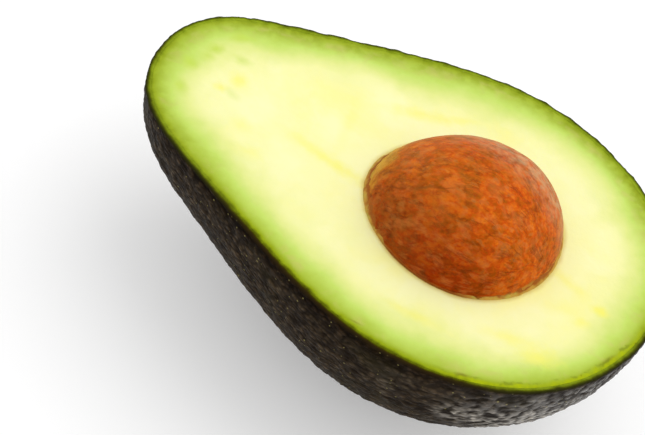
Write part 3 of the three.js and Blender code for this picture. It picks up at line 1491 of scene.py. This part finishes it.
class FringeFinish(Surface):
    """The coat's torn edge: thin, tan, browner at its foot and its top."""

    name = "coat_fringe"
    tan = srgb(196, 150, 62)
    brown = srgb(156, 84, 22)
    olive = srgb(188, 168, 74)
    patches = Patches(600.0, 0.45, 0.12)
    wander = (Clouds(500.0), Fade(0.2, 0.8, -0.5, 0.5))
    upper = Fade(0.1, 0.9)
    sides = Fade(0.2, 0.7, 1.0, 0.0)
    constants = {"Roughness": 0.6, "Specular IOR Level": 0.15}
    grit = Grit(1400.0, 1.0, 0.08 * MM)

    def build(self) -> bpy.types.Material:
        """Lays the brown over the tan.

        Returns:
            The material.
        """
        height = self.plus(self.attribute(Mask.SEAT), self.uneven(self.vector, *self.wander))
        sides = self.span(self.attribute(Mask.RELIEF), self.sides)
        colour = self.layered(
            self.mix(self.patch(self.patches), self.tan, self.olive),
            Layer(self.most(self.span(height, self.upper), sides), self.brown),
        )
        return self.finish(self.vector, Base_Color=colour)


# --------------------------------------------------------------------------------------- pieces


def least(low: float, share: float) -> float:
    """A share that starts at a low value instead of 0."""
    return low + (1 - low) * share


class Piece:
    """A piece that is modelled as one body."""

    name = "piece"

    def body(self) -> Body:
        """Models the body."""
        raise NotImplementedError

    def build(self, material: bpy.types.Material) -> bpy.types.Object:
        """Models and dresses the piece."""
        return self.body().place(self.name, material)


@dataclass(frozen=True)
class Peel(Piece):
    """The pebbled skin: a thin shell with a cut rim."""

    name: str = "peel"
    segments: int = 640
    outer_rows: int = 128
    inner_rows: int = 12
    rim_rows: int = 5
    rim_round: float = 0.12 * MM
    rim_calm: Fade = Fade(0.0, 1.6 * MM, 0.5, 1.0)  # share of full relief, by depth below the cut
    side_calm: float = 0.5  # share of full relief on the stem half of the -Y side
    pebble_spacing: float = 1.45 * MM
    pebble_height: float = 0.44 * MM
    pebble_middle: float = 0.9
    pebble_stretch: float = 1.35
    pebble_bend: tuple[float, float] = (0.4, 0.8)  # how fine it is and how far it goes, in pebbles
    crease: Fade = Fade(0.0, 0.4, 0.0, 0.45)
    dome: float = 0.55
    dome_fall: float = 1.4
    pebble_size: tuple[float, float, float] = (0.8, 0.5, 3.7)  # middle, spread and how fast it changes
    wave_spacing: float = 1.7 * MM
    wave_stretch: float = 3.2
    wave_bend: tuple[float, float] = (0.5, 0.9)
    wave_side: float = 2.8
    wave_rough: tuple[float, float] = (2.7, 0.35)
    wave_patch: float = 16 * MM
    wave_patch_reach: float = 0.15 * FRUIT.length
    wave_from: Fade = Fade(-0.1 * FRUIT.length, 0.4 * FRUIT.length, 0.0, 0.6)
    wave_to: Fade = Fade(0.35 * FRUIT.length, 0.47 * FRUIT.length, 1.0, 0.0)
    lump_spacing: float = 3.6 * MM
    lump_height: float = 0.6 * MM
    lump_fine: float = 0.4
    lump_near: float = 0.35  # share of their height on the -Y side
    swell: float = 0.22 * MM  # how far the lumps' middle lies outside the smooth fruit
    broad: Fade = Fade(-0.2 * FRUIT.length, 0.35 * FRUIT.length)
    far: Fade = Fade(0.0, 0.5 * FRUIT.belly)
    scar_radius: float = 4.2 * MM
    scar_dimple: Fade = Fade(2.1 * MM, 4.2 * MM, -0.4 * MM, 0.0)
    scar_plain: Fade = Fade(4.2 * MM, 8.4 * MM)
    scar_wood: Fade = Fade(2.52 * MM, 4.62 * MM, 1.0, 0.0)
    scar_rim_height: float = 0.5 * MM
    scar_rim_width: float = 1.5 * MM
    rest: Fade = Fade(8 * MM, 13 * MM)  # smooth near the flat spot

    def body(self) -> Body:
        """Models the shell."""
        return polar_body(self.segments, self.inner_rows + self.rim_rows + self.outer_rows, self._at)

    def _at(self, row: int, longitude: float) -> SurfacePoint:
        """A point of the shell: up the inside wall, out over the rim, then down the outside.

        Args:
            row: The point's row.
            longitude: Its longitude.

        Returns:
            The point.
        """
        if row <= self.inner_rows:
            elevation = -math.pi / 2 * (1 - row / self.inner_rows)
            inside = fruit_point(bearing(longitude, elevation), -SKIN)
            return SurfacePoint(inside, {Mask.RELIEF: 0.0, Mask.SCAR: 0.0, Mask.RIND: 0.0})
        if row < self.inner_rows + self.rim_rows:
            return self._rim_point((row - self.inner_rows) / self.rim_rows, longitude)
        down = (row - self.inner_rows - self.rim_rows) / self.outer_rows
        start = self.rim_round / FRUIT.belly
        return self._outside_point(bearing(longitude, -start - (math.pi / 2 - start) * down))

    def _rim_point(self, across: float, longitude: float) -> SurfacePoint:
        """A point of the cut rim.

        Args:
            across: How far across it is, from 0 at its inner edge to 1 at its outer one.
            longitude: The point's longitude.

        Returns:
            The point.
        """
        outward = bearing(longitude)
        height, share = self._relief(fruit_point(outward))
        point = fruit_point(outward, across * height - SKIN * (1 - across))
        return SurfacePoint(point, {Mask.RELIEF: share, Mask.SCAR: 0.0, Mask.RIND: across})

    def _outside_point(self, direction: Vector) -> SurfacePoint:
        """A point of the outside, raised by pebbles and the scar, and flat where it rests.

        Args:
            direction: The direction that leads to it.

        Returns:
            The point.
        """
        smooth = fruit_point(direction)
        height, share = self._relief(smooth)
        away = (smooth - fruit_point(SCAR_DIRECTION)).length
        rim = math.exp(-(((away - self.scar_radius) / self.scar_rim_width) ** 2))
        height = height * self.scar_plain.at(away) + self.scar_dimple.at(away) + self.scar_rim_height * rim
        point = fruit_point(direction, height)
        point.z = max(0.0, point.z)
        return SurfacePoint(point, {Mask.RELIEF: share, Mask.SCAR: self.scar_wood.at(away), Mask.RIND: 1.0})

    def _relief(self, point: Vector) -> tuple[float, float]:
        """The pebbled relief.

        Args:
            point: A point of the smooth fruit.

        Returns:
            The relief's height there, and how far up its pebble the point is.
        """
        x = point.x - CENTRE.x
        share = self._pebble(point)
        patch = self.wave_patch_reach * noise.noise(point / self.wave_patch)
        wavy = self.wave_from.at(x + patch) * self.wave_to.at(x)
        share += wavy * (self._wave(point) - share)
        calm = self.rim_calm.at(CENTRE.z - point.z)
        far = self.far.at(point.y - CENTRE.y)
        side = least(self.side_calm, max(self.broad.at(x), far))
        pebble = side * self.pebble_height * calm * (share - self.pebble_middle)
        fine = self.lump_fine * noise.noise(point / (self.lump_fine * self.lump_spacing))
        lump = self.swell + self.lump_height * calm * (noise.noise(point / self.lump_spacing) + fine)
        return self.rest.at(point.length) * (pebble + least(self.lump_near, far) * lump), share

    def _pebble(self, point: Vector) -> float:
        """How far up its pebble a point is.

        Args:
            point: A point of the smooth fruit.

        Returns:
            0 in the creases, 1 on the tops.
        """
        fine, by = self.pebble_bend
        cell = Vector((point.x / self.pebble_stretch, point.y, point.z)) / self.pebble_spacing
        cell += by * noise.noise_vector(cell * fine)
        distances, middles = noise.voronoi(cell)
        crease = self.crease.at(distances[1] - distances[0])
        dome = self.dome * max(0.0, 1 - self.dome_fall * distances[0] ** 2)
        middle, spread, pace = self.pebble_size
        size = middle + spread * noise.noise(middles[0] * pace)
        return min(1.0, max(0.0, size * (crease + dome)))

    def _wave(self, point: Vector) -> float:
        """Height of the long wavy ridges.

        Args:
            point: A point of the smooth fruit.

        Returns:
            0 between the ridges and 1 on their crests.
        """
        fine, by = self.wave_bend
        cell = Vector((point.x / self.wave_stretch, point.y, point.z)) / self.wave_spacing
        cell += by * noise.noise_vector(cell * fine)
        crest = 1 - self.wave_side * abs(noise.noise(cell))
        fine, by = self.wave_rough
        return min(1.0, max(0.0, crest + by * noise.noise(cell * fine)))


@dataclass(frozen=True)
class StemScar(Piece):
    """The corky plug left in the skin where the stem broke off; heights are above the smooth fruit."""

    name: str = "stem_scar"
    radius: float = 3.3 * MM
    rag: tuple[float, float] = (2.5, 0.12)
    buried: float = -0.9 * MM
    ring: Fade = Fade(0.35, 0.75, -0.2 * MM, 0.16 * MM)  # from the dish in its middle up to its ring
    edge: Fade = Fade(0.8, 1.0, 0.0, -0.46 * MM)
    cracks: int = 9
    crack_depth: float = 0.16 * MM
    crack_bend: tuple[float, float, float] = (1.3, 0.8, 3.0)
    crack_side: Fade = Fade(0.01, 0.09, 1.0, 0.0)
    crack_from: Fade = Fade(0.15, 0.3)
    crack_to: Fade = Fade(0.75, 0.9, 1.0, 0.0)
    rough: tuple[float, float] = (7.0, 0.3)
    segments: int = 144
    under_rows: int = 4
    top_rows: int = 30

    def body(self) -> Body:
        """Models the plug."""
        return polar_body(self.segments, self.under_rows + self.top_rows, self._at)

    def _at(self, row: int, angle: float) -> SurfacePoint:
        """A point of the plug: out along its hidden underside, then in over its face.

        Args:
            row: The point's row.
            angle: Its angle about the plug's middle.

        Returns:
            The point.
        """
        if row <= self.under_rows:
            return self._point(row / self.under_rows, angle, self.buried, 0.0)
        share = 1 - (row - self.under_rows) / self.top_rows
        crack = self._crack(share, angle)
        fine, by = self.rough
        rough = by * noise.noise(Vector((share * math.cos(angle), share * math.sin(angle), 0)) * fine)
        height = self.ring.at(share) + self.edge.at(share) + self.crack_depth * (rough - crack)
        return self._point(share, angle, height, crack)

    def _crack(self, share: float, angle: float) -> float:
        """How deep in a crack a point is: cracks run out from the middle, bending, and fade at the ring.

        Args:
            share: The point's share of the radius.
            angle: Its angle.

        Returns:
            0 outside the cracks and 1 in their middle.
        """
        fine, by, out = self.crack_bend
        bend = by * noise.noise(Vector((out * share, math.cos(angle), math.sin(angle))) * fine)
        across = abs(math.sin((angle + bend) * self.cracks / 2)) * share
        return self.crack_side.at(across) * self.crack_from.at(share) * self.crack_to.at(share)

    def _point(self, share: float, angle: float, height: float, crack: float) -> SurfacePoint:
        """A point of the plug, with its masks.

        Args:
            share: Its share of the radius.
            angle: Its angle.
            height: Its height above the smooth fruit.
            crack: How deep in a crack it is.

        Returns:
            The point.
        """
        normal = facing(SCAR_DIRECTION, FRUIT.local_point)
        across = normal.orthogonal().normalized()
        way = across * math.cos(angle) + normal.cross(across) * math.sin(angle)
        fine, by = self.rag
        out = self.radius * share * (1 + by * noise.noise(way * fine))
        place = fruit_point(SCAR_DIRECTION, height) + way * out
        return SurfacePoint(place, {Mask.SCAR: share, Mask.RELIEF: crack})


@dataclass(frozen=True)
class Flesh(Piece):
    """The flesh: a cut face with the pit's seat sunk into it, filling the skin."""

    name: str = "flesh_body"
    clearance: float = 0.05 * MM  # between the pit and its seat
    segments: int = 400
    seat_rows: int = 18
    face_rows: int = 84
    under_rows: int = 24
    under_gap: float = 0.04 * MM  # between its underside and the skin
    crowd: Fade = Fade(0.0, 1.0, 0.0, 0.75)  # rows crowd towards the seat and the skin
    uneven_height: float = 0.10 * MM
    uneven_spacing: float = 9 * MM
    lip: tuple[tuple[float, float], ...] = ((0.10 * MM, -0.10 * MM), (0.32 * MM, 0.0))
    edge: tuple[tuple[float, float], ...] = ((-0.06 * MM, 0.0), (0.0, -0.02 * MM), (0.02 * MM, -0.12 * MM))
    deep: float = 15.0

    def body(self) -> Body:
        """Models the flesh."""
        last = self.seat_rows + len(self.lip) + self.face_rows + len(self.edge) + self.under_rows
        return polar_body(self.segments, last, self._at)

    def _at(self, row: int, longitude: float) -> SurfacePoint:
        """A point of the flesh: up the seat, over its lip, out along the face and down under.

        Args:
            row: The point's row.
            longitude: Its longitude.

        Returns:
            The point.
        """
        if row <= self.seat_rows:
            start = -self.lip[0][1] / PIT.half_width
            elevation = -start - (math.pi / 2 - start) * (1 - row / self.seat_rows)
            return self._point(self._seat_wall(longitude, elevation), self.deep, 0.0)
        row -= self.seat_rows + 1
        if row < len(self.lip):
            out, up = self.lip[row]
            return self._point(self._lip_point(longitude, out, up), self.deep, row * out / MM)
        row -= len(self.lip)
        if row < self.face_rows:
            return self._face_point((row + 1) / (self.face_rows + 1), longitude)
        row -= self.face_rows
        if row < len(self.edge):
            out, up = self.edge[row]
            point = fruit_point(bearing(longitude), out - SKIN) + Vector((0, 0, up))
            return self._point(point, -out / MM, self.deep)
        row -= len(self.edge) - 1
        elevation = -math.pi / 2 * row / self.under_rows
        under = fruit_point(bearing(longitude, elevation), -SKIN - self.under_gap)
        return self._point(under, 0.0, self.deep)

    def _point(self, place: Vector, rind: float, seat: float) -> SurfacePoint:
        """A point with its two distances, in millimetres."""
        return SurfacePoint(place, {Mask.RIND: rind, Mask.SEAT: seat})

    def _seat_wall(self, longitude: float, elevation: float = 0.0) -> Vector:
        """A point of the seat, just clear of the pit."""
        start = CENTRE + Vector((PIT.centre.x, PIT.centre.y, 0))
        return start + bearing(longitude, elevation) * (seat_reach(longitude, elevation) + self.clearance)

    def _lip_point(self, longitude: float, out: float, up: float) -> Vector:
        """A point of the seat's rounded lip."""
        return self._seat_wall(longitude) + bearing(longitude) * out + Vector((0, 0, up))

    def _face_point(self, share: float, longitude: float) -> SurfacePoint:
        """A point of the cut face.

        Args:
            share: How far out it is, from 0 at the seat to 1 at the skin.
            longitude: Its longitude.

        Returns:
            The point.
        """
        share = share * (1 - self.crowd.end) + self.crowd.at(share)
        seat_edge = self._lip_point(longitude, *self.lip[-1])
        skin_edge = fruit_point(bearing(longitude), self.edge[0][0] - SKIN)
        point = seat_edge.lerp(skin_edge, share)
        near_seat = (point - seat_edge).length / MM
        fade = min(1.0, near_seat, (point - skin_edge).length / MM)
        point.z += self.uneven_height * fade * noise.noise(point / self.uneven_spacing)
        rind = skin_line().find(Vector((point.x, point.y, CENTRE.z)))[2] / MM
        return self._point(point, rind, self.lip[-1][0] / MM + near_seat)


@cache
def skin_line(steps: int = 2400) -> kdtree.KDTree:
    """The line where the cut face meets the skin.

    Args:
        steps: How many points it has.

    Returns:
        The points, as a tree.
    """
    tree = kdtree.KDTree(steps)
    for step in range(steps):
        tree.insert(fruit_point(bearing(2 * math.pi * step / steps), -SKIN), step)
    tree.balance()
    return tree


@dataclass(frozen=True)
class Pit(Piece):
    """The pit, with its coat grown on."""

    name: str = "seed"
    fineness: int = 7
    dent: tuple[float, float] = (2.2, 0.22 * MM)
    wrinkle: tuple[float, float] = (9.0, 0.05 * MM)
    dented: Fade = Fade(0.0, 3.0 * MM)  # smooth at the cut face and under it

    def body(self) -> Body:
        """Models the pit.

        Returns:
            The body.
        """
        body = Body()
        bmesh.ops.create_icosphere(body.mesh, subdivisions=self.fineness, radius=1.0)
        for vert in body.mesh.verts:
            direction = vert.co.normalized()
            point = PIT.local_point(direction)
            height = sum(by * noise.noise(direction * fine) for fine, by in (self.dent, self.wrinkle))
            point += facing(direction, PIT.local_point) * (height * self.dented.at(point.z))
            body.move(vert, SurfacePoint(CENTRE + point))
        return body


@dataclass(frozen=True)
class CoatFringe(Piece):
    """The torn edge of the pit's coat: a thin skirt that stands round the pit on the cut face."""

    name: str = "coat_fringe"
    segments: int = 540
    sides: int = 14
    foot: float = -0.15 * MM  # below the cut face
    low: float = 0.06 * MM  # lowest and highest of its ragged top, above the cut face
    high: float = 2.0 * MM
    ends: Fade = Fade(0.2, 0.9, 0.1, 1.0)  # share of its height and flare, from its sides to its ends
    thickness: float = 0.10 * MM
    flare: float = 0.75 * MM
    flare_power: int = 3
    sunk: float = 0.05 * MM  # how far its inner side lies in the pit's surface
    rag_spacing: float = 1.6 * MM
    rag_middle: float = 0.5

    def body(self) -> Body:
        """Models the skirt."""
        return ring_body(self.segments, self.sides, self._at)

    def _at(self, longitude: float, angle: float) -> SurfacePoint:
        """A point of the skirt.

        Args:
            longitude: Its longitude about the pit.
            angle: Its angle round the skirt's section.

        Returns:
            The point.
        """
        outward = bearing(longitude)
        ends = self.ends.at(abs(outward.x))
        ragged = self.rag_middle + noise.noise(outward * PIT.half_length / self.rag_spacing)
        height = self.low + self.high * ragged * ends
        share = (1 + math.sin(angle)) / 2
        outer = (1 + math.cos(angle)) / 2
        up = self.foot + (height - self.foot) * share
        start = Vector((PIT.centre.x, PIT.centre.y, up))
        flare = self.flare * ends * (1 - share) ** self.flare_power
        out = PIT.hit(start, outward) - self.sunk + (self.thickness + flare) * outer
        return SurfacePoint(CENTRE + start + outward * out, {Mask.SEAT: up / MM, Mask.RELIEF: ends})


class FloorFinish(Surface):
    """Plain and pale, with a soft glow that lifts the shadows."""

    name = "studio_floor"
    constants = {
        "Base Color": srgb(225, 225, 225),
        "Roughness": 0.9,
        "Emission Color": srgb(255, 255, 255),
        "Emission Strength": 0.28,
    }


@dataclass(frozen=True)
class Studio:
    """Floor, lights and camera."""

    floor_side: float = 4.0
    camera_place: Vector = fixed(Vector((0.04666, -0.26920, 0.32882)))
    camera_turn: tuple[float, float, float] = (40.00, -13.244, 29.165)
    focal_pixels: float = 2200.0
    sensor: float = 36.0
    world_strength: float = 0.86
    key_place: Vector = fixed(Vector((0.30, 0.40, 1.05)))
    key_side: float = 1.2
    key_power: float = 4.8

    def build(self, effects: Effects) -> None:
        """Sets up the whole studio.

        Args:
            effects: The shared node groups.
        """
        scene = bpy.context.scene
        scene.view_settings.view_transform = "Standard"
        scene.world = self._world()
        scene.camera = self._camera()
        self._key()
        floor = Body()
        bmesh.ops.create_grid(floor.mesh, x_segments=1, y_segments=1, size=self.floor_side / 2)
        floor.place("floor", FloorFinish(effects).material)

    def _camera(self) -> bpy.types.Object:
        """A long lens, looking down on the cut face.

        Returns:
            The camera.
        """
        data = bpy.data.cameras.new("camera")
        data.sensor_width = self.sensor
        data.lens = self.focal_pixels / IMAGE_WIDTH * self.sensor
        camera = bpy.data.objects.new("camera", data)
        camera.location = self.camera_place
        camera.rotation_euler = [math.radians(angle) for angle in self.camera_turn]
        bpy.context.scene.collection.objects.link(camera)
        return camera

    def _world(self) -> bpy.types.World:
        """Even pale light from all round.

        Returns:
            The world.
        """
        world = bpy.data.worlds.new("studio")
        world.use_nodes = True
        background = world.node_tree.nodes["Background"]
        background.inputs["Color"].default_value = (1, 1, 1, 1)
        background.inputs["Strength"].default_value = self.world_strength
        return world

    def _key(self) -> None:
        """A square soft light aimed at the fruit."""
        data = bpy.data.lights.new("key", "AREA")
        data.size = self.key_side
        data.energy = self.key_power
        light = bpy.data.objects.new("key", data)
        light.location = self.key_place
        light.rotation_euler = (CENTRE - self.key_place).to_track_quat("-Z", "Y").to_euler()
        bpy.context.scene.collection.objects.link(light)


def main() -> None:
    """Builds the studio and the five pieces."""
    logging.basicConfig(level=logging.INFO, format="%(name)s: %(message)s")
    noise.seed_set(NOISE_SEED)
    effects = Effects()
    Studio().build(effects)
    report(Peel().build(PeelFinish(effects).build()), Node.SKIN)
    report(StemScar().build(CorkFinish(effects).build()), None)
    report(Flesh().build(FleshFinish(effects).build()), Node.FLESH)
    report(Pit().build(SeedCoatFinish(effects).build()), Node.PIT)
    report(CoatFringe().build(FringeFinish(effects).build()), None)


if __name__ == "__main__":
    main()
